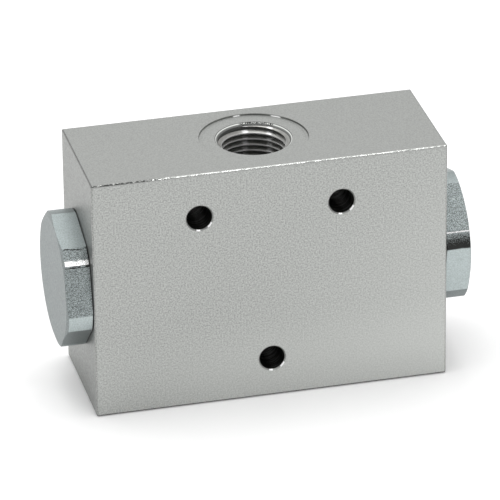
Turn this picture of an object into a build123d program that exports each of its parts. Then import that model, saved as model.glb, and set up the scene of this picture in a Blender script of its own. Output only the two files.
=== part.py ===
# Spool-type hydraulic flow divider and combiner, in millimetres.
# +X runs along the spools to the right, +Z up, and the front face looks along -Y.
# The origin is the centre of the block's bottom face.
import os
from math import cos, pi, radians, sin, tan

from build123d import *

os.makedirs("parts", exist_ok=True)

# Steel block
block_length = 105.0
block_depth = 40.0
block_height = 74.0
edge_round = 0.5
axis_height = 36.0  # of the spools above the bottom face

# Mounting holes from front to back
mounting_hole_r = 3.75
mounting_hole_chamfer = 0.35
upper_hole_spacing = 42.0
upper_hole_height = 60.0
lower_hole_height = 12.0

# Inlet port on top, G 1/2
inlet_thread_r = 10.48
inlet_thread_depth = 15.0
inlet_mouth_r = 11.2
inlet_spot_face_r = 16.0
inlet_spot_face_depth = 0.45
inlet_passage_r = 7.0

# Outlet ports underneath, G 3/8
outlet_offset = 25.5
outlet_thread_r = 8.33
outlet_thread_depth = 12.5
outlet_mouth_r = 8.95
outlet_spot_face_r = 14.0
outlet_spot_face_depth = 0.45
outlet_passage_r = 5.0
drill_point_angle = 59.0  # between the port's axis and the cone of its drill

# Bore for the spools, with its oil grooves
spool_bore_r = 11.0
groove_r = 13.5
inlet_groove_width = 16.0
outlet_groove_width = 8.0

# Seat for an end plug, measured inwards from the end of the block
plug_thread_r = 15.0
plug_thread_depth = 10.5
plug_nose_bore_r = 13.0
plug_nose_bore_depth = 18.5
plug_mouth_chamfer = 0.8

# End plug
hex_sides = 6
hex_setback = 0.05  # from the block's front and back, so that the block lies flat on a plate
hex_flat_depth = 1.45  # cut into the turned head
hex_turned_diameter = block_depth - 2 * hex_setback
hex_across_flats = hex_turned_diameter - 2 * hex_flat_depth
hex_length = 7.8
hex_rim_chamfer = 0.5
hex_seat_chamfer = 0.4
left_hex_turn = 13.0  # how far the flat that faces forwards looks up
right_hex_turn = -11.0
plug_thread_play = 0.1
plug_thread_length = 9.5
plug_relief_r = 13.9
plug_relief_width = 1.2
plug_nose_play = 0.05
plug_tip_play = 0.5  # between the plug's tip and the step at the end of its bore
plug_tip_chamfer = 0.4
spring_pocket_r = 8.2
spring_pocket_depth = 11.5

# O-ring and backup ring in the plug's nose
seal_groove_r = 10.6
seal_groove_start = 1.7  # from the plug's tip
oring_width = 2.7
oring_corner = 0.8  # the squeezed ring keeps corners this wide
backup_ring_width = 1.2
seal_play = 0.05

# Spool half
spool_play = 0.05  # between the spool and its bore, on the radius
spool_stop_gap = 0.3  # left between spool and plug at the end of the travel
spool_travel = 3.0  # to each side
cup_bore_r = 8.0
wall_start = 8.5  # from the middle of the valve
wall_thickness = 6.0
metering_hole_r = 2.25
metering_hole_count = 6
metering_edge_lap = 0.05  # how far the holes' outer edge stays inside the groove
balance_groove_offsets = (3.5, 7.5)  # from the claw side of the wall
balance_groove_width = 0.6
balance_groove_depth = 0.4

# Claws that hook the two spool halves together
claw_bore_r = 7.5
claw_reach = 5.0  # past the middle of the valve
claw_neck_level = 3.5
claw_head_level = -2.0
claw_gap = 0.3
claw_root_round = 0.8

# Orifice jet in the wall of a spool half
jet_thread_r = 5.0
jet_thread_play = 0.05
jet_head_r = 5.5
jet_head_length = 2.5
jet_orifice_r = 2.0
jet_slot_width = 1.4
jet_slot_depth = 1.2

# Spring seat and shim
seat_play = 0.2
seat_thickness = 1.5
seat_jet_play = 0.2
shim_thickness = 0.5
shim_play = 0.2
shim_hole_r = 4.5

# Springs
centering_wire_r = 0.75
centering_coil_play = 0.4  # between the coil and the cup
centering_turns = 7.0
spread_wire_r = 0.6
spread_coil_play = 0.9  # between the coil and the claws
spread_turns = 5.0
closed_end_turns = 1.0  # at each end of a spring
closed_turn_gap = 0.1
wire_sides = 6
runs_per_turn = 12

# Places along the axis that several pieces share
block_end = block_length / 2
plug_tip_x = block_end - plug_nose_bore_depth + plug_tip_play
pocket_floor_x = plug_tip_x + spring_pocket_depth
wall_end = wall_start + wall_thickness
spool_r = spool_bore_r - spool_play
spool_end_x = plug_tip_x - spool_stop_gap - spool_travel
outlet_groove_end = outlet_offset + outlet_groove_width / 2
metering_hole_x = outlet_groove_end - metering_edge_lap - metering_hole_r
shim_face_x = pocket_floor_x - shim_thickness
seat_face_x = wall_end + seat_thickness
overshoot = 1.0  # how far a cutting shape runs past the face that it starts from


def turned(outline):
    # Solid of revolution about the spool axis, from (x, radius) points.
    profile = make_face(Polyline(*outline, close=True))
    return Pos(0, 0, axis_height) * revolve(profile, Axis.X)


def ring(start, end, outer_r, inner_r):
    return turned([(start, inner_r), (start, outer_r), (end, outer_r), (end, inner_r)])


def half_turn(solid):
    # The same piece turned round to serve the other half of the valve.
    to_axis = Pos(0, 0, axis_height)
    return to_axis * Rot(0, 180, 0) * Pos(0, 0, -axis_height) * solid


def plug_seat():
    # Threaded mouth and nose bore at the right-hand end of the block.
    thread_start = block_end - plug_thread_depth
    nose_start = block_end - plug_nose_bore_depth
    mouth_r = plug_thread_r + plug_mouth_chamfer
    return turned([
        (nose_start, 0),
        (nose_start, plug_nose_bore_r),
        (thread_start, plug_nose_bore_r),
        (thread_start, plug_thread_r),
        (block_end - plug_mouth_chamfer, plug_thread_r),
        (block_end, mouth_r),
        (block_end + overshoot, mouth_r),
        (block_end + overshoot, 0),
    ])


def port(thread_r, thread_depth, mouth_r, spot_r, spot_depth, passage_r, passage_depth):
    # Hollow of a port whose face lies at z = 0, with the block below it.
    point_depth = (thread_r - passage_r) / tan(radians(drill_point_angle))
    thread_start = spot_depth + mouth_r - thread_r
    outline = Polyline(
        (0, overshoot),
        (spot_r, overshoot),
        (spot_r, -spot_depth),
        (mouth_r, -spot_depth),
        (thread_r, -thread_start),
        (thread_r, -thread_depth),
        (passage_r, -thread_depth - point_depth),
        (passage_r, -passage_depth),
        (0, -passage_depth),
        close=True,
    )
    return revolve(Plane.XZ * make_face(outline), Axis.Z)


def mounting_hole(x, z):
    # Straight hole from front to back, with a small chamfer at each mouth.
    front = -block_depth / 2
    mouth_r = mounting_hole_r + mounting_hole_chamfer
    outline = Polyline(
        (0, front - overshoot),
        (mouth_r, front - overshoot),
        (mouth_r, front),
        (mounting_hole_r, front + mounting_hole_chamfer),
        (mounting_hole_r, -front - mounting_hole_chamfer),
        (mouth_r, -front),
        (mouth_r, -front + overshoot),
        (0, -front + overshoot),
        close=True,
    )
    return Pos(x, 0, z) * revolve(make_face(outline), Axis.Y)


def make_valve_body():
    block = Pos(0, 0, block_height / 2) * Box(block_length, block_depth, block_height)
    body = fillet(block.edges(), edge_round)
    body -= ring(-block_end, block_end, spool_bore_r, 0)
    for groove_x, width in (
        (-outlet_offset, outlet_groove_width),
        (0, inlet_groove_width),
        (outlet_offset, outlet_groove_width),
    ):
        body -= ring(groove_x - width / 2, groove_x + width / 2, groove_r, 0)
    seat = plug_seat()
    body -= seat
    body -= half_turn(seat)

    inlet = port(
        inlet_thread_r,
        inlet_thread_depth,
        inlet_mouth_r,
        inlet_spot_face_r,
        inlet_spot_face_depth,
        inlet_passage_r,
        block_height - axis_height,
    )
    body -= Pos(0, 0, block_height) * inlet
    outlet = port(
        outlet_thread_r,
        outlet_thread_depth,
        outlet_mouth_r,
        outlet_spot_face_r,
        outlet_spot_face_depth,
        outlet_passage_r,
        axis_height,
    )
    for side in (-1, 1):
        body -= Pos(side * outlet_offset, 0, 0) * Rot(180, 0, 0) * outlet

    body -= mounting_hole(-upper_hole_spacing / 2, upper_hole_height)
    body -= mounting_hole(upper_hole_spacing / 2, upper_hole_height)
    body -= mounting_hole(0, lower_hole_height)
    return body


def hex_head(flat_angle):
    # Turned hexagon against the right-hand end of the block. The flat that faces forwards
    # looks up from the horizontal by flat_angle.
    flat_turn = 180 - flat_angle
    corner_turn = flat_turn - 180 / hex_sides
    polygon = RegularPolygon(
        hex_across_flats / 2, hex_sides, major_radius=False, rotation=corner_turn)
    outline = polygon & Circle(hex_turned_diameter / 2)
    head = extrude(Plane.YZ * outline, hex_length)
    head = Pos(block_end, 0, axis_height) * head
    rim = head.edges().group_by(Axis.X)[-1]
    head = chamfer(rim, hex_rim_chamfer)
    foot = head.edges().group_by(Axis.X)[0]
    return chamfer(foot, hex_seat_chamfer)


def make_end_plug(flat_angle):
    thread_r = plug_thread_r - plug_thread_play
    nose_r = plug_nose_bore_r - plug_nose_play
    thread_end = block_end - plug_thread_length
    groove_start = plug_tip_x + seal_groove_start
    groove_end = groove_start + oring_width + backup_ring_width + 3 * seal_play
    shank = turned([
        (block_end, 0),
        (pocket_floor_x, 0),
        (pocket_floor_x, spring_pocket_r),
        (plug_tip_x, spring_pocket_r),
        (plug_tip_x, nose_r - plug_tip_chamfer),
        (plug_tip_x + plug_tip_chamfer, nose_r),
        (groove_start, nose_r),
        (groove_start, seal_groove_r),
        (groove_end, seal_groove_r),
        (groove_end, nose_r),
        (thread_end, nose_r),
        (thread_end + thread_r - nose_r, thread_r),
        (block_end - plug_relief_width, thread_r),
        (block_end - plug_relief_width, plug_relief_r),
        (block_end, plug_relief_r),
    ])
    return hex_head(flat_angle) + shank


def make_oring():
    # O-ring as it lies squeezed between its groove and the bore.
    middle_x = plug_tip_x + seal_groove_start + seal_play + oring_width / 2
    middle_r = (seal_groove_r + plug_nose_bore_r) / 2
    section = Rectangle(oring_width, plug_nose_bore_r - seal_groove_r - 2 * seal_play)
    section = chamfer(section.vertices(), oring_corner)
    return Pos(0, 0, axis_height) * revolve(Pos(middle_x, middle_r) * section, Axis.X)


def make_backup_ring():
    start = plug_tip_x + seal_groove_start + oring_width + 2 * seal_play
    return ring(
        start,
        start + backup_ring_width,
        plug_nose_bore_r - seal_play,
        seal_groove_r + seal_play,
    )


def make_spool_half():
    # Right-hand half: a cup with metering holes, and a claw that reaches left past the middle.
    claw_tip = -claw_reach
    spool = turned([
        (claw_tip, claw_bore_r),
        (claw_tip, spool_r),
        (spool_end_x, spool_r),
        (spool_end_x, cup_bore_r),
        (wall_end, cup_bore_r),
        (wall_end, jet_thread_r),
        (wall_start, jet_thread_r),
        (wall_start, claw_bore_r),
    ])
    # Room for the other half's claw: the neck is thin, and the head behind it is deeper.
    hook_x = -claw_gap / 2
    clear_z = 2 * spool_r
    room = Polyline(
        (wall_start, clear_z),
        (wall_start, -claw_neck_level),
        (hook_x, -claw_neck_level),
        (hook_x, -claw_head_level),
        (claw_tip - overshoot, -claw_head_level),
        (claw_tip - overshoot, clear_z),
        close=True,
    )
    room = make_face(room)
    roots = room.vertices().group_by(Axis.Y)[0]
    room = fillet(roots, claw_root_round)
    cutter = extrude(Plane.XZ * room, 2 * spool_r, both=True)
    spool -= Pos(0, 0, axis_height) * cutter

    for offset in balance_groove_offsets:
        start = wall_start + offset
        spool -= ring(
            start,
            start + balance_groove_width,
            spool_r + overshoot,
            spool_r - balance_groove_depth,
        )
    # Each drilling runs from the axis outwards.
    drill = Pos(0, 0, spool_r / 2) * Cylinder(metering_hole_r, spool_r + overshoot)
    for hole in range(metering_hole_count):
        turn = Rot(360 * hole / metering_hole_count, 0, 0)
        spool -= Pos(metering_hole_x, 0, axis_height) * turn * drill
    return spool


def make_orifice_jet():
    thread_r = jet_thread_r - jet_thread_play
    head_end = wall_end + jet_head_length
    jet = turned([
        (wall_start, jet_orifice_r),
        (wall_start, thread_r),
        (wall_end, thread_r),
        (wall_end, jet_head_r),
        (head_end, jet_head_r),
        (head_end, jet_orifice_r),
    ])
    slot = Box(2 * jet_slot_depth, 2 * jet_head_r + overshoot, jet_slot_width)
    return jet - Pos(head_end, 0, axis_height) * slot


def make_spring_seat():
    return ring(wall_end, seat_face_x, cup_bore_r - seat_play, jet_head_r + seat_jet_play)


def make_shim():
    return ring(shim_face_x, pocket_floor_x, spring_pocket_r - shim_play, shim_hole_r)


def coil_spring(start, end, coil_r, wire_r, turns):
    # Compression spring between two faces square to the spool axis: closed end turns, open
    # turns between them. The wire is bent in short straight runs.
    rise = end - start - 2 * wire_r
    closed_pitch = 2 * wire_r + closed_turn_gap
    open_turns = turns - 2 * closed_end_turns
    open_pitch = (rise - 2 * closed_end_turns * closed_pitch) / open_turns
    runs = round(turns * runs_per_turn)
    stations = []
    for run in range(runs + 1):
        turn = turns * run / runs
        closed = min(turn, closed_end_turns) + max(turn - closed_end_turns - open_turns, 0)
        level = closed_pitch * closed + open_pitch * (turn - closed)
        angle = 2 * pi * turn
        stations.append((coil_r * cos(angle), coil_r * sin(angle), level))
    path = Polyline(*stations)
    wire = Plane(origin=path @ 0, z_dir=path % 0) * RegularPolygon(wire_r, wire_sides)
    spring = sweep(wire, path=path, transition=Transition.RIGHT)
    return Pos(start + wire_r, 0, axis_height) * Rot(0, 90, 0) * spring


def make_centering_spring():
    coil_r = cup_bore_r - centering_coil_play - centering_wire_r
    return coil_spring(seat_face_x, shim_face_x, coil_r, centering_wire_r, centering_turns)


def make_spread_spring():
    coil_r = claw_bore_r - spread_coil_play - spread_wire_r
    return coil_spring(-wall_start, wall_start, coil_r, spread_wire_r, spread_turns)


right_pieces = {
    "spool": make_spool_half(),
    "orifice_jet": make_orifice_jet(),
    "centering_spring": make_centering_spring(),
    "spring_seat": make_spring_seat(),
    "shim": make_shim(),
    "plug_oring": make_oring(),
    "plug_backup_ring": make_backup_ring(),
}
pieces = {
    "valve_body": make_valve_body(),
    "spread_spring": make_spread_spring(),
    "right_end_plug": make_end_plug(right_hex_turn),
    # The half turn stands the hexagon on its head, which changes the sign of its angle.
    "left_end_plug": half_turn(make_end_plug(-left_hex_turn)),
}
for name, piece in right_pieces.items():
    pieces["right_" + name] = piece
    pieces["left_" + name] = half_turn(piece)

for name, piece in pieces.items():
    export_step(piece, f"parts/{name}.step")
    print(name, round(piece.volume, 1))
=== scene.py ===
# Hydraulic flow divider in a studio: finishes for its parts, its cut threads, coned plug heads and
# wound springs, the lights, the floor and the camera. Lengths are in metres.
import math
from types import SimpleNamespace

import bmesh
import bpy
from mathutils import Matrix, Vector


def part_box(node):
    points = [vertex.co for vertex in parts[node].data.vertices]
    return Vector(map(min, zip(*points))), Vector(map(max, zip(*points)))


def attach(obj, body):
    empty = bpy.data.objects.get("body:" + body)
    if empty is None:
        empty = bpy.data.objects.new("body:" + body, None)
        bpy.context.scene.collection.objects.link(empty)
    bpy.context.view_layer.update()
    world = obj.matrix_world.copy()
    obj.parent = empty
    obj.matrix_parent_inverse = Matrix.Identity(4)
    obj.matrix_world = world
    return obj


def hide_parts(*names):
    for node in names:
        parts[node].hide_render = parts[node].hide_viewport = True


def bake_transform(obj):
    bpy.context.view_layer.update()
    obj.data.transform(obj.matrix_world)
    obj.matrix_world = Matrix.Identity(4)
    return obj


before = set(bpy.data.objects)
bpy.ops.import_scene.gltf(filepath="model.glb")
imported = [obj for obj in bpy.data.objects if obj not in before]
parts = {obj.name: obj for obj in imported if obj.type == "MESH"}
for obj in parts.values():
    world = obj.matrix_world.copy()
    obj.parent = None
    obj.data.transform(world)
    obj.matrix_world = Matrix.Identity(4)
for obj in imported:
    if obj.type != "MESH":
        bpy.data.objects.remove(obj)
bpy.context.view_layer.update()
scene = bpy.context.scene
print("frame loaded:", len(parts), "parts")

# Places that several pieces share, read from the frame
blockLow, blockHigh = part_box("valve_body")
boreLow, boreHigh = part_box("left_spool")
axisHeight = (boreLow.z + boreHigh.z) / 2


# Small helpers for node trees

def addNode(tree, kind, **settings):
    node = tree.nodes.new(kind)
    for name, value in settings.items():
        setattr(node, name, value)
    return node


def feed(tree, socket, value):
    # A socket is linked, and anything else is set as the input's own value.
    if isinstance(value, bpy.types.NodeSocket):
        tree.links.new(value, socket)
    elif value is not None:
        socket.default_value = value


def calc(tree, operation, first, second=None, clamp=False):
    node = addNode(tree, "ShaderNodeMath", operation=operation, use_clamp=clamp)
    for socket, value in zip(node.inputs, (first, second)):
        feed(tree, socket, value)
    return node.outputs[0]


def calcAll(tree, operation, values):
    # The same operation over all the values, from left to right
    result = values[0]
    for value in values[1:]:
        result = calc(tree, operation, result, value)
    return result


def product(tree, *factors):
    return calcAll(tree, "MULTIPLY", factors)


def total(tree, *values):
    return calcAll(tree, "ADD", values)


def largest(tree, *values):
    return calcAll(tree, "MAXIMUM", values)


def smallest(tree, *values):
    return calcAll(tree, "MINIMUM", values)


def minus(tree, value, taken):
    return calc(tree, "SUBTRACT", value, taken)


def opposite(tree, value):
    return minus(tree, 1.0, value)


def absolute(tree, value):
    return calc(tree, "ABSOLUTE", value)


def farFrom(tree, first, second):
    # Length of the two components together
    return calc(tree, "SQRT", total(tree, product(tree, first, first), product(tree, second, second)))


def turnOf(tree, across, up):
    # Angle in degrees, anticlockwise from the first direction
    return product(tree, calc(tree, "ARCTAN2", up, across), 180 / math.pi)


def stepUp(tree, value, start, end):
    # 0 below start, 1 above end, smooth between them
    node = addNode(tree, "ShaderNodeMapRange", interpolation_type="SMOOTHSTEP")
    feed(tree, node.inputs["Value"], value)
    feed(tree, node.inputs["From Min"], start)
    feed(tree, node.inputs["From Max"], end)
    return node.outputs["Result"]


def stepDown(tree, value, start, end):
    return opposite(tree, stepUp(tree, value, start, end))


def window(tree, value, start, end, soft):
    # 1 between start and end, with soft borders
    return product(tree, stepUp(tree, value, start - soft, start + soft),
                   stepDown(tree, value, end - soft, end + soft))


def mixColors(tree, factor, first, second, blend="MIX"):
    node = addNode(tree, "ShaderNodeMix", data_type="RGBA", blend_type=blend)
    colorSockets = [s for s in node.inputs if s.type == "RGBA"]
    feed(tree, node.inputs[0], factor)
    feed(tree, colorSockets[0], first)
    feed(tree, colorSockets[1], second)
    return next(s for s in node.outputs if s.type == "RGBA")


def mixValues(tree, factor, first, second):
    node = addNode(tree, "ShaderNodeMix", data_type="FLOAT")
    feed(tree, node.inputs[0], factor)
    feed(tree, node.inputs[2], first)
    feed(tree, node.inputs[3], second)
    return node.outputs[0]


def noise(tree, place, scale, detail=2.0, roughness=0.5):
    node = addNode(tree, "ShaderNodeTexNoise")
    feed(tree, node.inputs["Vector"], place)
    node.inputs["Scale"].default_value = scale
    node.inputs["Detail"].default_value = detail
    node.inputs["Roughness"].default_value = roughness
    return node.outputs["Fac"]


def stretched(tree, place, factors):
    node = addNode(tree, "ShaderNodeVectorMath", operation="MULTIPLY")
    feed(tree, node.inputs[0], place)
    node.inputs[1].default_value = factors
    return node.outputs[0]


def split(tree, place):
    node = addNode(tree, "ShaderNodeSeparateXYZ")
    feed(tree, node.inputs[0], place)
    return node.outputs


def dots(tree, place, perMetre, radius, share):
    # Scattered round specks, one in this share of the cells
    cells = addNode(tree, "ShaderNodeTexVoronoi", feature="F1")
    feed(tree, cells.inputs["Vector"], place)
    cells.inputs["Scale"].default_value = perMetre
    inDot = stepDown(tree, cells.outputs["Distance"], radius * perMetre * 0.6, radius * perMetre)
    chance = split(tree, cells.outputs["Color"])[0]
    return product(tree, inDot, calc(tree, "LESS_THAN", chance, share))


def bump(tree, height, strength, distance, under=None):
    node = addNode(tree, "ShaderNodeBump")
    feed(tree, node.inputs["Strength"], strength)
    node.inputs["Distance"].default_value = distance
    feed(tree, node.inputs["Height"], height)
    feed(tree, node.inputs["Normal"], under)
    return node.outputs["Normal"]


def finish(name, metallic, roughness):
    # A new material, its tree, its shader and the place on the piece
    material = bpy.data.materials.new(name)
    material.use_nodes = True
    tree = material.node_tree
    shader = next(n for n in tree.nodes if n.type == "BSDF_PRINCIPLED")
    shader.inputs["Metallic"].default_value = metallic
    shader.inputs["Roughness"].default_value = roughness
    place = addNode(tree, "ShaderNodeTexCoord").outputs["Object"]
    return material, tree, shader, place


def shade(value, tint=(1.0, 1.0, 1.0)):
    return (value * tint[0], value * tint[1], value * tint[2], 1.0)


# Zinc-plated block: ground faces with a fine grain and painted light and shade, nicked edges with painted
# shade and a painted glint, tool rings with painted shade and glints, dark bores

blockFinish = {
    "tint": (0.978, 1.0, 0.968),
    "tone": 0.42,
    "endShadeShare": 0.71,            # share of the tone on the ends, a painted shade
    "topShadeShare": 0.84,            # and on the top, also a painted shade
    "topGrain": 0.45,           # share of the grain that the smoother top has
    "cornerLight": 0.34,        # how much painted light the front gets towards its lower right
    "lowLight": (0.12, 0.24),   # and towards its lower edge, on the left and further right
    "roughness": 0.46,
    "grainSize": 2200.0,        # grains per metre
    "grainContrast": 0.26,
    "dotsPerMetre": 230.0,
    "dotRadius": 0.00022,
    "seamRadius": 0.0196,       # painted shade in the seam round each plug's head
    "edgeWidth": 0.0005,
    "edgeRoughness": 0.24,
    "burrAndShadeTone": 0.07,           # dark nicks along the edges, partly burrs and partly painted shade, and a painted contact shadow along the foot
    "burrAndShadeEnd": -0.0300,         # x up to which the upper front edge has dark nicks, and past which it has a painted glint
    "leftBurrsAndShade": 0.62,          # strength of the dark nicks, partly painted shade, on the upper left edge
    "glintTone": 0.80,         # painted glint along the upper front edge
    "polishRoughness": 0.14,
    "ringRadius": 0.0160,       # wall of the inlet's spot face
    "ringStrength": (0.40, 0.72),               # of the painted shade in its wall and the tool ring inside it, and where they are clearest
    "ringGlints": ((-8.0, -1.0), (32.0, 43.0)), # degrees from the back, where glints are painted on its wall
    "lipRadii": (0.0104, 0.0112),               # chamfer of the inlet's mouth
    "lipTones": (0.92, 0.05),                   # a painted highlight, with dark mottling at the back
    "lipRoughness": 0.6,
    "holeRadius": 0.00375,
    "rimRadius": 0.00405,
    "holeTone": 0.016,
    "boreTone": 0.12,
    "boreRoughness": 0.45,
}
screwHoles = ((-0.021, 0.060), (0.021, 0.060), (0.0, 0.012))


def plated(tone):
    return shade(tone, blockFinish["tint"])


def blockPlaces(tree, place):
    # The point's place, and how far it is past each pair of faces: 0 on a face, negative inside
    x, y, z = split(tree, place)
    middleZ = (blockLow.z + blockHigh.z) / 2
    fromMiddle = minus(tree, z, middleZ)
    reachX = minus(tree, absolute(tree, x), blockHigh.x)
    reachY = minus(tree, absolute(tree, y), blockHigh.y)
    reachZ = minus(tree, absolute(tree, fromMiddle), blockHigh.z - middleZ)
    nearest = largest(tree, reachX, reachY, reachZ)
    second = largest(tree, smallest(tree, reachX, reachY),
                     smallest(tree, reachZ, largest(tree, reachX, reachY)))
    return SimpleNamespace(x=x, y=y, z=z, fromMiddle=fromMiddle, reachX=reachX, reachY=reachY,
                           nearest=nearest, second=second)


def platedFacesAndPaintedLight(tree, place, at, grain):
    b = blockFinish
    color = mixColors(tree, stepUp(tree, grain, 0.33, 0.67), plated(b["tone"] * (1 - b["grainContrast"])),
                      plated(b["tone"] * (1 + b["grainContrast"])))
    # The top has less grain, and a painted shade.
    onTop = stepUp(tree, at.z, blockHigh.z - 0.0009, blockHigh.z - 0.0006)
    color = mixColors(tree, product(tree, onTop, 1.0 - b["topGrain"]), color,
                      plated(b["tone"] * b["topShadeShare"]))
    blotches = noise(tree, place, 110.0, 4.0, 0.6)
    color = mixColors(tree, product(tree, blotches, 0.12), color, plated(b["tone"] * 0.7))

    # Painted light: the front is made a little lighter towards its lower edge and its lower right.
    onFront = stepDown(tree, at.y, blockLow.y + 0.0005, blockLow.y + 0.0010)
    corner = minus(tree, at.x, product(tree, at.fromMiddle, 1.1))
    corner = product(tree, stepUp(tree, corner, -0.02, 0.10), b["cornerLight"])
    low = product(tree, stepUp(tree, product(tree, at.fromMiddle, -1.0), 0.008, 0.028),
                  mixValues(tree, stepUp(tree, at.x, -0.045, -0.010), *b["lowLight"]))
    lighter = product(tree, total(tree, corner, low), onFront)
    color = mixColors(tree, lighter, color, plated(b["tone"] * 1.5))

    # Painted shade: the ends are made darker than the front.
    onEnds = stepUp(tree, at.reachX, -0.0006, -0.0004)
    color = mixColors(tree, product(tree, onEnds, 1.0 - b["endShadeShare"]), color, shade(0.0))
    # Painted shade in the seam round each plug's head
    fromAxis = farFrom(tree, at.y, minus(tree, at.z, axisHeight))
    seam = product(tree, onEnds, stepDown(tree, fromAxis, b["seamRadius"], b["seamRadius"] + 0.0005))
    color = mixColors(tree, product(tree, seam, 0.7), color, plated(0.14))
    specks = dots(tree, place, b["dotsPerMetre"], b["dotRadius"], 0.16)
    return mixColors(tree, product(tree, specks, 0.55), color, plated(0.12))


def edgeNicksAndPaintedLight(tree, place, at, color):
    # Dark nicks along the upper left and the left of the upper front, partly burrs and partly painted shade;
    # a painted contact shadow along the foot; a painted glint along the rest of the upper front
    b = blockFinish
    width = b["edgeWidth"]
    edge = stepUp(tree, at.second, -1.1 * width, -0.6 * width)
    crown = stepUp(tree, at.second, -0.62 * width, -0.48 * width)
    nearTop = stepUp(tree, at.z, blockHigh.z - 1.1 * width, blockHigh.z - 0.8 * width)
    nearFloor = stepDown(tree, at.z, blockLow.z + 0.5 * width, blockLow.z + 1.2 * width)
    nearFront = stepDown(tree, at.y, blockLow.y + 0.8 * width, blockLow.y + 1.1 * width)
    nearLeft = stepDown(tree, at.x, blockLow.x + 0.8 * width, blockLow.x + 1.1 * width)
    upperFront = product(tree, edge, nearTop, nearFront)
    upperLeft = product(tree, edge, nearTop, nearLeft)

    dashes = noise(tree, stretched(tree, place, (1100.0, 3000.0, 3000.0)), 1.0, 2.0, 0.6)
    wander = total(tree, at.x, product(tree, minus(tree, dashes, 0.5), 0.045))
    brighterEnd = stepUp(tree, wander, b["burrAndShadeEnd"] - 0.001, b["burrAndShadeEnd"] + 0.001)
    leftNicksAndShade = product(tree, upperLeft, crown, stepUp(tree, dashes, 0.30, 0.56), b["leftBurrsAndShade"])
    frontNicksAndShade = product(tree, upperFront, opposite(tree, brighterEnd), stepUp(tree, dashes, 0.40, 0.50))
    # The edges of the foot get a painted contact shadow.
    nicksAndShade = largest(tree, leftNicksAndShade, frontNicksAndShade, product(tree, edge, nearFloor))
    # A painted glint along the rest of the upper front edge, which is also less rough there.
    glintAndPolish = product(tree, upperFront, crown, brighterEnd, stepUp(tree, dashes, 0.42, 0.52))
    color = mixColors(tree, nicksAndShade, color, plated(b["burrAndShadeTone"]))
    color = mixColors(tree, glintAndPolish, color, plated(b["glintTone"]))
    return color, SimpleNamespace(all=edge, upperFront=upperFront, nicksAndShade=nicksAndShade, glintAndPolish=glintAndPolish)


def inletRings(tree, place, at, color):
    # Painted shade in the wall of the inlet's spot face and a tool ring just inside it, strongest at the
    # back, with painted glints on the wall; and the chamfer of its mouth, painted bright
    b = blockFinish
    ring = b["ringRadius"]
    lipInside, lipOutside = b["lipRadii"]
    fromPort = farFrom(tree, at.x, at.y)
    backTurn = turnOf(tree, at.y, at.x)      # 0 at the back, growing to the right
    upHigh = stepUp(tree, at.z, blockHigh.z - 0.0021, blockHigh.z - 0.0019)
    behind = stepDown(tree, absolute(tree, backTurn), 85.0, 125.0)
    # Painted shade in the spot face's wall, and a tool ring just inside it
    wall = product(tree, window(tree, fromPort, ring - 0.00020, ring + 0.00018, 0.0001),
                   stepDown(tree, at.z, blockHigh.z - 0.00024, blockHigh.z - 0.00014))
    groove = window(tree, fromPort, ring - 0.00110, ring - 0.00085, 0.0001)
    rings = product(tree, largest(tree, wall, product(tree, groove, 0.30)), upHigh, behind)
    clear = largest(tree, window(tree, backTurn, 5.0, 27.0, 4.0), stepUp(tree, backTurn, 44.0, 60.0))
    strength = mixValues(tree, clear, *b["ringStrength"])
    color = mixColors(tree, product(tree, rings, strength), color, plated(0.12))
    # Painted glints on the wall at the back
    glints = largest(tree, *(window(tree, backTurn, start, end, 1.5) for start, end in b["ringGlints"]))
    color = mixColors(tree, product(tree, wall, upHigh, glints), color, shade(1.0))

    lip = product(tree, window(tree, fromPort, lipInside, lipOutside, 0.00006), upHigh)
    lipLine = window(tree, fromPort, lipOutside - 0.0001, lipOutside + 0.00012, 0.00006)
    lipLine = product(tree, lipLine, upHigh, behind)
    mottleNoise = noise(tree, stretched(tree, place, (3600.0, 1500.0, 3600.0)), 1.0, 2.0, 0.6)
    mottled = product(tree, window(tree, backTurn, -8.0, 46.0, 4.0), stepUp(tree, mottleNoise, 0.42, 0.50))
    bright, dark = b["lipTones"]
    # The mouth's chamfer is painted bright, with dark mottling at the back
    color = mixColors(tree, lip, color, plated(bright))
    color = mixColors(tree, product(tree, lip, mottled), color, plated(dark))
    return mixColors(tree, product(tree, lipLine, 0.8), color, plated(0.06)), lip


def drilledHoles(tree, place, at, color):
    # Screw holes: dark inside with tool rings, and a small chamfer, darkened, with painted glints below
    b = blockFinish
    distances = []
    turns = []
    for holeX, holeZ in screwHoles:
        across = minus(tree, at.x, holeX)
        up = minus(tree, at.z, holeZ)
        distance = farFrom(tree, across, up)
        distances.append(distance)
        turns.append(product(tree, turnOf(tree, across, up), calc(tree, "LESS_THAN", distance, 0.006)))
    nearHole = smallest(tree, *distances)
    holeTurn = total(tree, *turns)
    inHole = product(tree, stepDown(tree, nearHole, b["holeRadius"] - 0.00003, b["holeRadius"] + 0.00005),
                     stepDown(tree, at.reachY, -0.0006, -0.0003))
    toolMarks = noise(tree, stretched(tree, place, (150.0, 1100.0, 150.0)), 1.0, 2.0, 0.7)
    holeColor = mixColors(tree, stepUp(tree, toolMarks, 0.48, 0.62),
                          shade(b["holeTone"], (1.1, 1.0, 0.8)), shade(b["holeTone"] * 9.0, (1.0, 1.04, 1.0)))
    rim = product(tree, stepDown(tree, nearHole, b["rimRadius"], b["rimRadius"] + 0.00007),
                  stepUp(tree, at.reachY, -0.0006, -0.0004))
    below = largest(tree, window(tree, holeTurn, -104.0, -88.0, 2.0),
                    window(tree, holeTurn, -52.0, -26.0, 2.0))
    color = mixColors(tree, inHole, color, holeColor)
    color = mixColors(tree, product(tree, rim, 0.5), color, plated(0.14))
    # Painted glints on the chamfer below each hole
    return mixColors(tree, product(tree, rim, below), color, shade(1.0))


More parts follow.
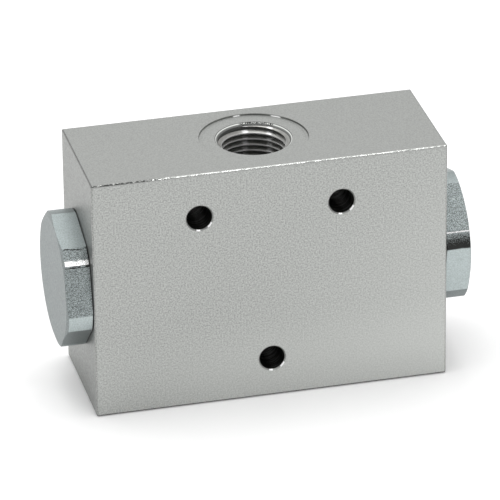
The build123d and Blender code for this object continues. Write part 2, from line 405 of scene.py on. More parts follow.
def makeBlockMaterial():
    b = blockFinish
    material, tree, shader, place = finish("zincBlock", 1.0, b["roughness"])
    at = blockPlaces(tree, place)
    inside = stepDown(tree, at.nearest, -0.0009, -0.0006)
    grain = noise(tree, place, b["grainSize"], 3.0, 0.65)
    color = platedFacesAndPaintedLight(tree, place, at, grain)
    color, edges = edgeNicksAndPaintedLight(tree, place, at, color)
    color, lip = inletRings(tree, place, at, color)
    color = mixColors(tree, product(tree, inside, 0.9), color, plated(b["boreTone"]))
    feed(tree, shader.inputs["Base Color"], drilledHoles(tree, place, at, color))

    smoothEdge = product(tree, edges.all, opposite(tree, edges.nicksAndShade))
    rough = mixValues(tree, smoothEdge, b["roughness"], b["edgeRoughness"])
    rough = mixValues(tree, edges.glintAndPolish, rough, b["polishRoughness"])
    rough = mixValues(tree, inside, rough, b["boreRoughness"])
    feed(tree, shader.inputs["Roughness"], mixValues(tree, lip, rough, b["lipRoughness"]))

    nicks = noise(tree, place, 700.0, 2.0, 0.6)
    feed(tree, shader.inputs["Normal"], bump(
        tree, nicks, product(tree, edges.upperFront, 0.30), 0.0003, bump(tree, grain, 0.16, 0.00008)))
    return material


# Zinc-plated end plugs: turned faces, with some flats left rough from the rolled bar, and painted glints,
# light and shade on the heads

plugFinish = {
    "tint": (0.895, 1.0, 1.0),
    "tone": 0.415,
    "endShadeShare": 0.56,         # share of the tone on the turned end face, a painted shade
    "endMottle": 0.75,       # how far that share wanders
    "roughness": 0.42,
    "grainSize": 3000.0,
    "endRadius": 0.0184,     # where the end face meets the cone that rounds off the hexagon
    "coneSlope": 0.268,      # depth of the cone for each unit of radius
    "roughTone": 0.31,
    "roughContrast": 0.56,
    "roughGloss": 0.34,      # roughness of the rolled flats
    "speckleSize": 4600.0,
    "speckleBump": 0.40,
    # Tones of the painted glint
    "brightTones": (0.50, 0.98),
    "brightGloss": 0.22,
    # Tones of the painted shade
    "darkTones": (0.035, 0.42),
    "borderSway": 2.2,       # degrees that the borders of the painted glint, the painted shade and the pits wander
    "pitTone": 0.03,
    "footTone": 0.12,        # painted shade against the block
}
plugBands = {
    # Angles in degrees above the horizontal, seen from the front: a stretch left rough from the
    # rolled bar, and its painted glint and painted shade, which all come again on every other flat.
    # Then lines of pits, and smooth stretches with painted light and shade, as a share of the tone.
    "left_end_plug": {
        "rough": (-9.4, 50.7),
        "bright": (35.6, 43.2),
        "dark": None,
        "pits": [(33.8, 35.8), (49.4, 51.2)],
        "paintedShares": [(-69.4, -24.6, 0.66), (-24.6, -9.4, 1.22), (50.7, 110.6, 0.78)],
    },
    "right_end_plug": {
        "rough": (11.3, 71.4),
        "bright": (25.2, 27.0),
        "dark": (11.3, 24.6),
        "pits": [],
        "paintedShares": [(-64.0, -33.4, 0.66), (-33.4, 11.3, 1.18), (71.4, 131.3, 0.86)],
    },
}
thirdOfTurn = 120.0


def zinced(tone):
    return shade(tone, plugFinish["tint"])


def plugPlaces(tree, place, plug):
    # The point's angle round the plug, and masks for the head's sides, its end and its foot
    p = plugFinish
    x, y, z = split(tree, place)
    up = minus(tree, z, axisHeight)
    degrees = turnOf(tree, product(tree, y, -1.0), up)
    turn = total(tree, degrees, product(tree, calc(tree, "LESS_THAN", degrees, -65.0), 360.0))
    radius = farFrom(tree, up, y)
    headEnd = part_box(plug)[0].x if plug.startswith("left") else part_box(plug)[1].x
    fromEnd = absolute(tree, minus(tree, x, headEnd))
    outer = stepUp(tree, radius, 0.0168, 0.0172)
    # Behind the cone's surface lie the flats and corners of the hexagon.
    coneDepth = product(tree, minus(tree, radius, p["endRadius"]), p["coneSlope"])
    behindCone = minus(tree, fromEnd, largest(tree, coneDepth, 0.0))
    head = product(tree, stepUp(tree, behindCone, 0.00003, 0.00012), outer)
    onEnd = largest(tree, stepDown(tree, fromEnd, 0.00004, 0.0001),
                    product(tree, opposite(tree, head), outer))
    foot = product(tree, stepDown(tree, absolute(tree, x), blockHigh.x + 0.0002, blockHigh.x + 0.0003),
                   stepUp(tree, radius, 0.0160, 0.0164))
    return SimpleNamespace(turn=turn, head=head, onEnd=onEnd, foot=foot)


def thrice(stretch):
    # The same stretch on every other flat
    return [(stretch[0] + shift, stretch[1] + shift) for shift in (0.0, thirdOfTurn, 2 * thirdOfTurn)]


def banded(tree, at, streaks, stretches, border, sway):
    # 1 on the head's sides within these stretches, whose borders sway with the streaks
    where = total(tree, at.turn, product(tree, minus(tree, streaks, 0.5), sway))
    windows = [window(tree, where, start, end, border) for start, end in stretches]
    return product(tree, at.head, largest(tree, 0.0, *windows))


def along(tree, at, stretch):
    # 0 at the start of the stretch and 1 at its end, the same on every other flat
    start, end = stretch
    return calc(tree, "DIVIDE", minus(tree, calc(tree, "MODULO", at.turn, thirdOfTurn), start), end - start)


def smoothZinc(tree, place, at, grain, paintedShares):
    # Fine grain, faint clouds and specks, with painted light and shade on some flats and painted shade on the
    # end
    p = plugFinish
    color = mixColors(tree, stepUp(tree, grain, 0.32, 0.68), zinced(p["tone"] * 0.86),
                      zinced(p["tone"] * 1.14))
    clouds = noise(tree, place, 160.0, 3.0, 0.5)
    color = mixColors(tree, product(tree, clouds, 0.15), color, zinced(p["tone"] * 0.6))
    specks = dots(tree, place, 240.0, 0.00022, 0.15)
    color = mixColors(tree, product(tree, specks, 0.5), color, zinced(0.12))
    # Painted light and shade on some flats, as a share of the tone
    share = 1.0
    for start, end, tone in paintedShares:
        onFlat = product(tree, at.head, window(tree, at.turn, start, end, 0.4))
        share = mixValues(tree, onFlat, share, tone)
    color = mixColors(tree, 1.0, color, share, "MULTIPLY")
    # Painted shade on the end face, varied by a mottle.
    mottle = product(tree, minus(tree, noise(tree, place, 1700.0, 3.0, 0.7), 0.5), p["endMottle"])
    endShade = product(tree, at.onEnd, total(tree, mottle, 1.0 - p["endShadeShare"]))
    return mixColors(tree, endShade, color, shade(0.0))


def makePlugMaterial(plug):
    p = plugFinish
    bands = plugBands[plug]
    material, tree, shader, place = finish("zincPlug_" + plug.split("_")[0], 1.0, p["roughness"])
    at = plugPlaces(tree, place, plug)
    speckle = noise(tree, place, p["speckleSize"], 2.0, 0.55)
    streaks = noise(tree, stretched(tree, place, (500.0, 1900.0, 1900.0)), 1.0, 2.0, 0.6)
    grain = noise(tree, place, p["grainSize"], 2.0, 0.6)

    rough = banded(tree, at, streaks, thrice(bands["rough"]), 0.5, 0.0)
    roughColor = mixColors(tree, stepUp(tree, speckle, 0.42, 0.61),
                           zinced(p["roughTone"] * (1 - p["roughContrast"])),
                           zinced(p["roughTone"] * (1 + p["roughContrast"])))
    color = mixColors(tree, rough, smoothZinc(tree, place, at, grain, bands["paintedShares"]), roughColor)
    if bands["dark"]:
        # Painted shade, darkest at its foot, greyer and rougher towards the rough flat above
        rise = total(tree, along(tree, at, bands["dark"]), product(tree, minus(tree, speckle, 0.5), 2.4))
        darkestShade, brighterEnd = p["darkTones"]
        darkColor = mixColors(tree, stepUp(tree, rise, 0.50, 1.2),
                              shade(darkestShade, (1.0, 1.02, 0.98)), zinced(brighterEnd))
        darkened = banded(tree, at, streaks, thrice(bands["dark"]), 0.6, p["borderSway"])
        color = mixColors(tree, darkened, color, darkColor)

    # The painted glint is ragged towards its upper border.
    crumbs = product(tree, total(tree, streaks, speckle), 0.5)
    ragged = minus(tree, total(tree, crumbs, 0.50), product(tree, along(tree, at, bands["bright"]), 0.75))
    bright = product(tree, banded(tree, at, streaks, thrice(bands["bright"]), 0.5, p["borderSway"]),
                     stepUp(tree, ragged, 0.50, 0.60))
    brightColor = mixColors(tree, stepUp(tree, speckle, 0.30, 0.48), *(shade(t) for t in p["brightTones"]))
    color = mixColors(tree, bright, color, brightColor)
    pits = product(tree, banded(tree, at, streaks, bands["pits"], 0.3, p["borderSway"]),
                   stepUp(tree, streaks, 0.47, 0.55))
    color = mixColors(tree, pits, color, shade(p["pitTone"]))
    # Painted shade on the head's foot against the block
    feed(tree, shader.inputs["Base Color"], mixColors(tree, at.foot, color, shade(p["footTone"])))

    roughness = mixValues(tree, rough, p["roughness"], p["roughGloss"])
    feed(tree, shader.inputs["Roughness"], mixValues(tree, bright, roughness, p["brightGloss"]))
    feed(tree, shader.inputs["Normal"], bump(
        tree, speckle, product(tree, rough, p["speckleBump"]), 0.0002, bump(tree, grain, 0.14, 0.00008)))
    return material


# Finishes of the inner parts

innerFinish = {
    "spoolTone": 0.52,
    "spoolRoughness": 0.22,
    "brass": (0.72, 0.53, 0.24),
    "springTone": 0.13,
    "washerTone": 0.34,
    "rubber": (0.012, 0.012, 0.013),
    "backupRing": (0.78, 0.77, 0.73),
}


def dress(tree, shader, pattern, colors, roughness, relief):
    # Colour, roughness and a slight relief, all from one pattern
    feed(tree, shader.inputs["Base Color"], mixColors(tree, pattern, *colors))
    feed(tree, shader.inputs["Roughness"], mixValues(tree, pattern, *roughness))
    feed(tree, shader.inputs["Normal"], bump(tree, pattern, *relief))


def dimmed(color, share):
    return tuple(min(1.0, share * c) for c in color) + (1.0,)


def makeTurnedMaterial(name, color, roughness, linesPerMetre):
    # Fine tool lines run round the spool axis.
    material, tree, shader, place = finish(name, 1.0, roughness)
    lines = noise(tree, stretched(tree, place, (linesPerMetre, 60.0, 60.0)), 1.0, 3.0, 0.6)
    dress(tree, shader, lines, (dimmed(color, 0.82), dimmed(color, 1.10)),
          (roughness * 0.8, roughness * 1.3), (0.12, 0.00005))
    return material


def makeSpringMaterial():
    material, tree, shader, place = finish("springWire", 1.0, 0.38)
    millScale = noise(tree, place, 1500.0, 3.0, 0.6)
    tone = innerFinish["springTone"]
    dress(tree, shader, millScale, (shade(tone * 0.6), shade(tone * 1.5, (1.0, 0.97, 0.92))),
          (0.28, 0.5), (0.08, 0.00005))
    return material


def makeWasherMaterial():
    material, tree, shader, place = finish("punchedSteel", 1.0, 0.4)
    stains = noise(tree, place, 700.0, 4.0, 0.6)
    tone = innerFinish["washerTone"]
    dress(tree, shader, stains, (shade(tone * 0.75), shade(tone * 1.2)), (0.32, 0.5), (0.1, 0.00008))
    return material


def makeSoftMaterial(name, color, roughness):
    material, tree, shader, place = finish(name, 0.0, roughness)
    mottle = noise(tree, place, 1200.0, 3.0, 0.6)
    dress(tree, shader, mottle, (dimmed(color, 0.8), dimmed(color, 1.15)),
          (roughness * 0.9, roughness * 1.1), (0.08, 0.00005))
    return material


# Threads of the ports: sizes, places and finish

threadSizes = {
    "inlet": {"Wall Radius": 0.01053, "Crest Radius": 0.00934, "Pitch": 0.001814, "Turns": 7.3,
              "Start Height": 0.0594, "Steps per Turn": 72},
    "outlet": {"Wall Radius": 0.00838, "Crest Radius": 0.00751, "Pitch": 0.001337, "Turns": 8.2,
               "Start Height": 0.0012, "Steps per Turn": 60},
}
ridgeShape = {"Ridge Share": 0.86, "Crest Share": 0.16, "Fade Turns": 0.35}
outletOffset = 0.0255
portThreads = {
    "inletThread": ("inlet", 0.0),
    "leftOutletThread": ("outlet", -outletOffset),
    "rightOutletThread": ("outlet", outletOffset),
}
threadFinish = {
    "flankTone": 0.32,
    "flankRoughness": (0.32, 0.50),
    # Tone of the crests, lighter than the flanks: painted light
    "crestTone": 0.54,
    "crestRoughness": 0.65,         # the crests' rounded edges gather light from all round
    "crestDepth": 0.00016,
    "paintedStreakTurns": (-1.0, 41.0),    # degrees from the back, where brighter streaks are painted as reflections
    "streakWidth": 4.5,
    "streakTone": 0.80,
}


def makeThreadMaterial():
    t = threadFinish
    material, tree, shader, place = finish("cutThread", 1.0, t["crestRoughness"])
    x, y, z = split(tree, place)
    inOutlet = calc(tree, "LESS_THAN", z, axisHeight)
    across = minus(tree, absolute(tree, x), product(tree, inOutlet, outletOffset))
    crestRadius = mixValues(tree, inOutlet, threadSizes["inlet"]["Crest Radius"],
                            threadSizes["outlet"]["Crest Radius"])
    depth = minus(tree, farFrom(tree, across, y), crestRadius)
    crest = stepDown(tree, depth, 0.5 * t["crestDepth"], t["crestDepth"])
    backTurn = turnOf(tree, y, x)
    streaks = largest(tree, *(window(tree, backTurn, turn - t["streakWidth"], turn + t["streakWidth"], 3.0)
                              for turn in t["paintedStreakTurns"]))
    marks = noise(tree, stretched(tree, place, (250.0, 250.0, 1800.0)), 1.0, 2.0, 0.6)
    color = mixColors(tree, marks, shade(t["flankTone"] * 0.6, (1.0, 1.0, 0.94)),
                      shade(t["flankTone"] * 1.5, (1.0, 1.0, 0.96)))
    # Painted reflections: brighter streaks on the flanks at these turns
    paintedStreaks = product(tree, streaks, stepUp(tree, marks, 0.3, 0.5))
    color = mixColors(tree, paintedStreaks, color, shade(t["streakTone"]))
    # Painted light on the crests
    feed(tree, shader.inputs["Base Color"], mixColors(tree, crest, color, shade(t["crestTone"])))
    flank = mixValues(tree, marks, *t["flankRoughness"])
    feed(tree, shader.inputs["Roughness"], mixValues(tree, crest, flank, t["crestRoughness"]))
    feed(tree, shader.inputs["Normal"], bump(tree, marks, 0.08, 0.00008))
    return material


springMaterial = makeSpringMaterial()
threadMaterial = makeThreadMaterial()
finishes = {
    "valve_body": makeBlockMaterial(),
    "left_end_plug": makePlugMaterial("left_end_plug"),
    "right_end_plug": makePlugMaterial("right_end_plug"),
}
spoolMaterial = makeTurnedMaterial("groundSpool", (innerFinish["spoolTone"],) * 3,
                                   innerFinish["spoolRoughness"], 9000.0)
jetMaterial = makeTurnedMaterial("turnedBrass", innerFinish["brass"], 0.25, 6000.0)
washerMaterial = makeWasherMaterial()
sealMaterial = makeSoftMaterial("sealRubber", innerFinish["rubber"], 0.55)
backupMaterial = makeSoftMaterial("backupRing", innerFinish["backupRing"], 0.5)
for side in ("left", "right"):
    finishes[side + "_spool"] = spoolMaterial
    finishes[side + "_orifice_jet"] = jetMaterial
    finishes[side + "_spring_seat"] = washerMaterial
    finishes[side + "_shim"] = washerMaterial
    finishes[side + "_plug_oring"] = sealMaterial
    finishes[side + "_plug_backup_ring"] = backupMaterial
    finishes[side + "_centering_spring"] = springMaterial
finishes["spread_spring"] = springMaterial

for name, material in finishes.items():
    slots = parts[name].data.materials
    if not len(slots):
        slots.append(material)
    for index in range(len(slots)):
        slots[index] = material
print("finishes given:", len(finishes))


# Geometry Nodes: threads cut in the ports, and wound springs

def newTree(name, inputs):
    tree = bpy.data.node_groups.new(name, "GeometryNodeTree")
    tree.interface.new_socket("Geometry", in_out="OUTPUT", socket_type="NodeSocketGeometry")
    for label, kind in inputs.items():
        tree.interface.new_socket(label, in_out="INPUT", socket_type="NodeSocket" + kind)
    tree.nodes.new("NodeGroupInput")
    tree.nodes.new("NodeGroupOutput")
    return tree


def treeInputs(tree):
    return next(n for n in tree.nodes if n.bl_idname == "NodeGroupInput").outputs


def closeTree(tree, geometry, material):
    realize = addNode(tree, "GeometryNodeRealizeInstances")
    feed(tree, realize.inputs[0], geometry)
    setMaterial = addNode(tree, "GeometryNodeSetMaterial")
    feed(tree, setMaterial.inputs["Geometry"], realize.outputs[0])
    feed(tree, setMaterial.inputs["Material"], material)
    output = next(n for n in tree.nodes if n.bl_idname == "NodeGroupOutput")
    feed(tree, output.inputs[0], setMaterial.outputs[0])


def grow(name, tree, values):
    # Runs the tree on an empty mesh with these values and keeps the result as a plain mesh.
    host = bpy.data.objects.new(name + "_host", bpy.data.meshes.new(name + "_host"))
    scene.collection.objects.link(host)
    modifier = host.modifiers.new("grow", "NODES")
    modifier.node_group = tree
    for item in tree.interface.items_tree:
        if item.item_type == "SOCKET" and item.in_out == "INPUT":
            modifier[item.identifier] = values[item.name]
    bpy.context.view_layer.update()
    evaluated = host.evaluated_get(bpy.context.evaluated_depsgraph_get())
    mesh = bpy.data.meshes.new_from_object(evaluated)
    mesh.name = name
    host.modifiers.remove(modifier)
    bpy.data.objects.remove(host)
    piece = bpy.data.objects.new(name, mesh)
    scene.collection.objects.link(piece)
    return piece


def sweep(tree, curve, profile, taper=None):
    mesh = addNode(tree, "GeometryNodeCurveToMesh")
    feed(tree, mesh.inputs["Curve"], curve)
    feed(tree, mesh.inputs["Profile Curve"], profile)
    mesh.inputs["Fill Caps"].default_value = True
    feed(tree, mesh.inputs["Scale"], taper)
    return mesh.outputs["Mesh"]


def makeThreadTree():
    tree = newTree("cutThread", {
        "Wall Radius": "Float", "Crest Radius": "Float", "Pitch": "Float", "Turns": "Float",
        "Start Height": "Float", "Steps per Turn": "Int", "Ridge Share": "Float", "Crest Share": "Float",
        "Fade Turns": "Float", "Centre": "Vector", "Material": "Material"})
    given = treeInputs(tree)
    spiral = addNode(tree, "GeometryNodeCurveSpiral")
    midRadius = product(tree, total(tree, given["Wall Radius"], given["Crest Radius"]), 0.5)
    ridgeHeight = minus(tree, given["Wall Radius"], given["Crest Radius"])
    feed(tree, spiral.inputs["Resolution"], given["Steps per Turn"])
    feed(tree, spiral.inputs["Rotations"], given["Turns"])
    feed(tree, spiral.inputs["Start Radius"], midRadius)
    feed(tree, spiral.inputs["End Radius"], midRadius)
    feed(tree, spiral.inputs["Height"], product(tree, given["Turns"], given["Pitch"]))
    spiral.inputs["Reverse"].default_value = True      # right-handed
    upright = addNode(tree, "GeometryNodeSetCurveNormal", mode="Z_UP")
    feed(tree, upright.inputs["Curve"], spiral.outputs["Curve"])

    # The ridge grows out of the wall over the first and last stretch of the thread.
    progress = addNode(tree, "GeometryNodeSplineParameter").outputs["Factor"]
    fromStart = product(tree, progress, given["Turns"])
    fromEnd = product(tree, opposite(tree, progress), given["Turns"])
    fade = calc(tree, "DIVIDE", smallest(tree, fromStart, fromEnd), given["Fade Turns"], clamp=True)
    fade = largest(tree, fade, 0.04)

    section = addNode(tree, "GeometryNodeCurvePrimitiveQuadrilateral", mode="TRAPEZOID")
    feed(tree, section.inputs["Bottom Width"], product(tree, given["Pitch"], given["Ridge Share"]))
    feed(tree, section.inputs["Top Width"], product(tree, given["Pitch"], given["Crest Share"]))
    section.inputs["Offset"].default_value = 0.0
    feed(tree, section.inputs["Height"], ridgeHeight)
    turned = addNode(tree, "GeometryNodeTransform")
    feed(tree, turned.inputs["Geometry"], section.outputs["Curve"])
    turned.inputs["Rotation"].default_value = (0.0, 0.0, math.radians(90))

    # Where the ridge is thin, its curve lies nearer the wall, so that the foot stays in it.
    outwards = addNode(tree, "ShaderNodeVectorMath", operation="NORMALIZE")
    flat = addNode(tree, "ShaderNodeVectorMath", operation="MULTIPLY")
    feed(tree, flat.inputs[0], addNode(tree, "GeometryNodeInputPosition").outputs[0])
    flat.inputs[1].default_value = (1.0, 1.0, 0.0)
    feed(tree, outwards.inputs[0], flat.outputs[0])
    shift = addNode(tree, "ShaderNodeVectorMath", operation="SCALE")
    feed(tree, shift.inputs[0], outwards.outputs[0])
    feed(tree, shift.inputs["Scale"], product(tree, ridgeHeight, 0.5, opposite(tree, fade)))
    nudge = addNode(tree, "GeometryNodeSetPosition")
    feed(tree, nudge.inputs["Geometry"], upright.outputs["Curve"])
    feed(tree, nudge.inputs["Offset"], shift.outputs[0])

    ridge = sweep(tree, nudge.outputs[0], turned.outputs[0], fade)
    placed = addNode(tree, "GeometryNodeTransform")
    feed(tree, placed.inputs["Geometry"], ridge)
    combine = addNode(tree, "ShaderNodeCombineXYZ")
    feed(tree, combine.inputs["Z"], given["Start Height"])
    corner = addNode(tree, "ShaderNodeVectorMath", operation="ADD")
    feed(tree, corner.inputs[0], given["Centre"])
    feed(tree, corner.inputs[1], combine.outputs[0])
    feed(tree, placed.inputs["Translation"], corner.outputs[0])
    flatShade = addNode(tree, "GeometryNodeSetShadeSmooth")
    feed(tree, flatShade.inputs["Geometry"], placed.outputs[0])
    flatShade.inputs["Shade Smooth"].default_value = False
    closeTree(tree, flatShade.outputs[0], given["Material"])
    return tree


threadTree = makeThreadTree()
for name, (port, offset) in portThreads.items():
    thread = grow(name, threadTree, {**threadSizes[port], **ridgeShape, "Centre": (offset, 0.0, 0.0),
                                     "Material": threadMaterial})
    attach(thread, "housing")
print("threads cut:", len(portThreads))


# End plugs: turned solids with six flats cut on the head, and the hexagon's corners coned off

plugShape = {
    "headLength": 0.0078,
    "turnedRadius": 0.01995,
    "acrossFlats": 0.037,
    "footGap": 0.00015,      # the head's rim stands off the block by this much
    "footRadius": 0.0168,
    "footChamfer": 0.0002,
    "steps": 180,
    "cornerAngle": 12.0,     # edges that turn by more degrees than this stay sharp
    "flatTurns": {"left_end_plug": 13.0, "right_end_plug": -11.0},   # degrees above the horizontal
}
# Spring pocket and shank: distance inwards from the end of the block, radius
plugShank = (
    (0.0065, 0.0), (0.0065, 0.0082), (0.0180, 0.0082), (0.0180, 0.01255), (0.0176, 0.01295),
    (0.0163, 0.01295), (0.0163, 0.0106), (0.01225, 0.0106), (0.01225, 0.01295), (0.0095, 0.01295),
    (0.00755, 0.0149), (0.0012, 0.0149), (0.0012, 0.0139), (-0.0002, 0.0139), (-0.0002, 0.0))


def lathe(solid, outline, side, steps):
    # Turns (distance outwards from the block, radius) points round the spool axis.
    rows = []
    for outwards, radius in outline:
        x = side * (blockHigh.x + outwards)
        count = steps if radius > 0 else 1
        angles = [2 * math.pi * step / steps for step in range(count)]
        rows.append([solid.verts.new((x, radius * math.cos(a), axisHeight + radius * math.sin(a)))
                     for a in angles])
    for first, second in zip(rows, rows[1:]):
        for step in range(steps):
            corners = []
            for row, at in ((first, step), (first, step + 1), (second, step + 1), (second, step)):
                corner = row[at % len(row)]
                if corner not in corners:
                    corners.append(corner)
            if len(corners) > 2:
                solid.faces.new(corners)


def makePlug(name):
    s = plugShape
    side = -1 if name.startswith("left") else 1
    length = s["headLength"]
    coneDepth = (s["turnedRadius"] - plugFinish["endRadius"]) * plugFinish["coneSlope"]
    head = bmesh.new()
    lathe(head, ((0.0, 0.0), (0.0, s["footRadius"]), (s["footGap"], s["footRadius"]),
                 (s["footGap"], s["turnedRadius"] - s["footChamfer"]),
                 (s["footGap"] + s["footChamfer"], s["turnedRadius"]),
                 (length - coneDepth, s["turnedRadius"]), (length, plugFinish["endRadius"]), (length, 0.0)),
          side, s["steps"])
    for flat in range(6):
        turn = math.radians(s["flatTurns"][name] + 60 * flat)
        away = Vector((0.0, -math.cos(turn), math.sin(turn)))
        middle = Vector((side * blockHigh.x, 0.0, axisHeight)) + away * s["acrossFlats"] / 2
        cut = bmesh.ops.bisect_plane(head, geom=head.verts[:] + head.edges[:] + head.faces[:],
                                     plane_co=middle, plane_no=away, clear_outer=True)
        border = [e for e in cut["geom_cut"] if isinstance(e, bmesh.types.BMEdge)]
        bmesh.ops.edgenet_fill(head, edges=border)
    lathe(head, [(-inwards, radius) for inwards, radius in plugShank], side, s["steps"])
    bmesh.ops.recalc_face_normals(head, faces=head.faces[:])
    mesh = bpy.data.meshes.new(name + "_shape")
    head.to_mesh(mesh)
    head.free()
    mesh.shade_smooth()
    mesh.set_sharp_from_angle(angle=math.radians(s["cornerAngle"]))
    plug = bpy.data.objects.new(name + "_turned", mesh)
    mesh.materials.append(finishes[name])
    scene.collection.objects.link(plug)
    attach(plug, "housing")
    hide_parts(name)


for name in plugShape["flatTurns"]:
    makePlug(name)
print("plugs turned:", len(plugShape["flatTurns"]))


def makeSpringTree():
    tree = newTree("woundSpring", {
        "Start": "Float", "Direction": "Float", "Length": "Float", "Axis Height": "Float",
        "Coil Radius": "Float", "Wire Radius": "Float", "Turns": "Float", "Closed Turns": "Float",
        "Closed Gap": "Float", "Steps per Turn": "Float", "Wire Sides": "Int", "Material": "Material"})
    given = treeInputs(tree)
    steps = product(tree, given["Turns"], given["Steps per Turn"])
    line = addNode(tree, "GeometryNodeMeshLine")
    feed(tree, line.inputs["Count"], total(tree, steps, 1.0))
    index = addNode(tree, "GeometryNodeInputIndex").outputs[0]
    turn = calc(tree, "DIVIDE", index, given["Steps per Turn"])

    # Closed turns at both ends, open turns between them
    wire = product(tree, given["Wire Radius"], 2.0)
    rise = minus(tree, given["Length"], wire)
    closedPitch = total(tree, wire, given["Closed Gap"])
    openTurns = minus(tree, given["Turns"], product(tree, given["Closed Turns"], 2.0))
    closedRise = product(tree, given["Closed Turns"], 2.0, closedPitch)
    openPitch = calc(tree, "DIVIDE", minus(tree, rise, closedRise), openTurns)
    lastOpen = total(tree, given["Closed Turns"], openTurns)
    atStart = smallest(tree, turn, given["Closed Turns"])
    atEnd = largest(tree, minus(tree, turn, lastOpen), 0.0)
    closed = total(tree, atStart, atEnd)
    level = total(tree, product(tree, closedPitch, closed),
                  product(tree, openPitch, minus(tree, turn, closed)))
    alongAxis = total(tree, level, given["Wire Radius"])
    angle = product(tree, turn, 2 * math.pi)
    combine = addNode(tree, "ShaderNodeCombineXYZ")
    feed(tree, combine.inputs["X"], total(tree, given["Start"], product(tree, alongAxis, given["Direction"])))
    feed(tree, combine.inputs["Y"], product(tree, calc(tree, "SINE", angle), given["Coil Radius"]))
    height = product(tree, calc(tree, "COSINE", angle), given["Coil Radius"], given["Direction"])
    feed(tree, combine.inputs["Z"], minus(tree, given["Axis Height"], height))
    wound = addNode(tree, "GeometryNodeSetPosition")
    feed(tree, wound.inputs["Geometry"], line.outputs["Mesh"])
    feed(tree, wound.inputs["Position"], combine.outputs[0])
    curve = addNode(tree, "GeometryNodeMeshToCurve")
    feed(tree, curve.inputs["Mesh"], wound.outputs[0])
    circle = addNode(tree, "GeometryNodeCurvePrimitiveCircle")
    feed(tree, circle.inputs["Resolution"], given["Wire Sides"])
    feed(tree, circle.inputs["Radius"], given["Wire Radius"])
    coil = sweep(tree, curve.outputs["Curve"], circle.outputs["Curve"])
    smooth = addNode(tree, "GeometryNodeSetShadeSmooth")
    feed(tree, smooth.inputs["Geometry"], coil)
    closeTree(tree, smooth.outputs[0], given["Material"])
    return tree


springSizes = {
    "centering": {"Length": 0.0295, "Coil Radius": 0.00685, "Wire Radius": 0.00075, "Turns": 7.0},
    "spread": {"Length": 0.017, "Coil Radius": 0.0060, "Wire Radius": 0.0006, "Turns": 5.0},
}
springWinding = {"Axis Height": axisHeight, "Closed Turns": 1.0, "Closed Gap": 0.0001,
                 "Steps per Turn": 40.0, "Wire Sides": 14, "Material": springMaterial}
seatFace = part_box("right_spring_seat")[1].x
wallFace = springSizes["spread"]["Length"] / 2
springTree = makeSpringTree()


def makeSpring(name, size, start, direction):
    values = {"Start": start, "Direction": direction}
    spring = grow(name, springTree, {**springWinding, **springSizes[size], **values})
    return spring


leftCentering = makeSpring("leftCenteringCoil", "centering", -seatFace, -1.0)
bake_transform(leftCentering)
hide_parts("left_centering_spring")
rightCentering = makeSpring("rightCenteringCoil", "centering", seatFace, 1.0)
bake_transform(rightCentering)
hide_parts("right_centering_spring")
spread = makeSpring("spreadCoil", "spread", -wallFace, 1.0)
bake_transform(spread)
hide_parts("spread_spring")
print("springs wound: 3")


# Floor and surroundings

studio = {
    "floorSize": 6.0,
    "floorGap": 0.0002,
    "floorTone": 0.80,
    "seenTone": 0.97,     # as the camera and the metal see it
    "floorLift": 0.04,    # light of its own, which brings the open floor to white
    "around": 1.0,        # light from the surroundings
    "zenith": 0.98,
    "frontBand": 0.55,    # darker stretch just above the horizon, in front of the block
}


def makeFloor():
    s = studio
    half = s["floorSize"] / 2
    level = blockLow.z - s["floorGap"]
    mesh = bpy.data.meshes.new("floor")
    corners = [(-half, -half, level), (half, -half, level), (half, half, level), (-half, half, level)]
    mesh.from_pydata(corners, [], [(0, 1, 2, 3)])
    floor = bpy.data.objects.new("floor", mesh)
    scene.collection.objects.link(floor)
    material = bpy.data.materials.new("studioFloor")
    material.use_nodes = True
    tree = material.node_tree
    tree.nodes.clear()
    output = addNode(tree, "ShaderNodeOutputMaterial")
    paint, seenPaint = (addNode(tree, "ShaderNodeBsdfDiffuse") for _ in range(2))
    paint.inputs["Color"].default_value = shade(s["floorTone"])
    seenPaint.inputs["Color"].default_value = shade(s["seenTone"])
    glow = addNode(tree, "ShaderNodeEmission")
    glow.inputs["Strength"].default_value = s["floorLift"]
    lit = addNode(tree, "ShaderNodeAddShader")
    feed(tree, lit.inputs[0], seenPaint.outputs[0])
    feed(tree, lit.inputs[1], glow.outputs[0])
    ray = addNode(tree, "ShaderNodeLightPath").outputs
    seen = largest(tree, ray["Is Camera Ray"], ray["Is Glossy Ray"], ray["Is Transmission Ray"])
    choice = addNode(tree, "ShaderNodeMixShader")
    feed(tree, choice.inputs[0], seen)
    feed(tree, choice.inputs[1], paint.outputs[0])
    feed(tree, choice.inputs[2], lit.outputs[0])
    feed(tree, output.inputs["Surface"], choice.outputs[0])
    mesh.materials.append(material)


def makeWorld():
    s = studio
    world = bpy.data.worlds.new("lightTent")
    scene.world = world
    world.use_nodes = True
    tree = world.node_tree
    background = next(n for n in tree.nodes if n.type == "BACKGROUND")
    direction = addNode(tree, "ShaderNodeTexCoord").outputs["Generated"]
    x, y, z = split(tree, direction)
    level = mixValues(tree, stepUp(tree, z, 0.55, 0.95), s["around"], s["zenith"])
    band = product(tree, window(tree, z, -0.02, 0.30, 0.06), stepDown(tree, y, -0.75, -0.35))
    level = mixValues(tree, band, level, s["frontBand"])
    camera = addNode(tree, "ShaderNodeLightPath").outputs["Is Camera Ray"]
    feed(tree, background.inputs["Strength"], mixValues(tree, camera, level, 1.0))
    background.inputs["Color"].default_value = (1.0, 1.0, 1.0, 1.0)


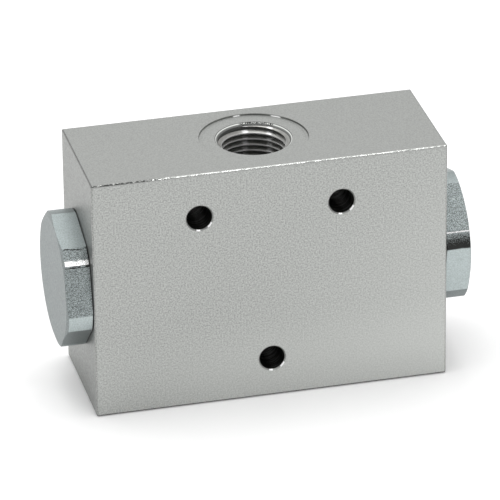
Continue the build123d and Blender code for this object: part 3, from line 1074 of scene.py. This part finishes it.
lamps = {
    "overheadSoftbox": {"place": (-0.10, 0.25, 1.30), "aim": (0.0, 0.0, 0.0),
                        "size": (0.9, 0.7), "power": 5.2},
    "edgeStrip": {"place": (0.20, -0.60, 0.78), "aim": (0.0, 0.0, 0.05),
                  "size": (0.22, 0.07), "power": 0.5},
}


def makeLamp(name, place, aim, size, power):
    light = bpy.data.lights.new(name, "AREA")
    light.shape = "RECTANGLE"
    light.size, light.size_y = size
    light.energy = power
    lamp = bpy.data.objects.new(name, light)
    lamp.location = place
    lamp.rotation_euler = (Vector(aim) - Vector(place)).to_track_quat("-Z", "Y").to_euler()
    scene.collection.objects.link(lamp)


makeFloor()
makeWorld()
for name, lamp in lamps.items():
    makeLamp(name, **lamp)
scene.view_settings.view_transform = "Standard"
print("studio set up")


# Camera at the photograph's angle: the picture is 500 x 500 pixels

viewpoint = {
    "azimuth": -13.5742,       # degrees from straight in front
    "elevation": 26.7001,
    "roll": -0.6913,
    "sideways": -0.0018647,    # metres across the view from the origin
    "upwards": 0.03345,
    "distance": 1.476604,
    "lens": 360.0,             # millimetres
    "sensor": 36.0,
}


def makeCamera():
    v = viewpoint
    azimuth, elevation, roll = (math.radians(v[k]) for k in ("azimuth", "elevation", "roll"))
    back = Vector((math.sin(azimuth) * math.cos(elevation), -math.cos(azimuth) * math.cos(elevation),
                   math.sin(elevation)))
    right = (-back).cross(Vector((0.0, 0.0, 1.0))).normalized()
    up = right.cross(-back)
    rolledRight = math.cos(roll) * right + math.sin(roll) * up
    rolledUp = -math.sin(roll) * right + math.cos(roll) * up
    data = bpy.data.cameras.new("camera")
    data.lens = v["lens"]
    data.sensor_width = v["sensor"]
    data.sensor_fit = "HORIZONTAL"
    data.clip_start = 0.05
    data.clip_end = 20.0
    camera = bpy.data.objects.new("camera", data)
    turn = Matrix((rolledRight, rolledUp, back)).transposed().to_4x4()
    turn.translation = rolledRight * v["sideways"] + rolledUp * v["upwards"] + back * v["distance"]
    camera.matrix_world = turn
    scene.collection.objects.link(camera)
    scene.camera = camera


makeCamera()
print("camera placed")
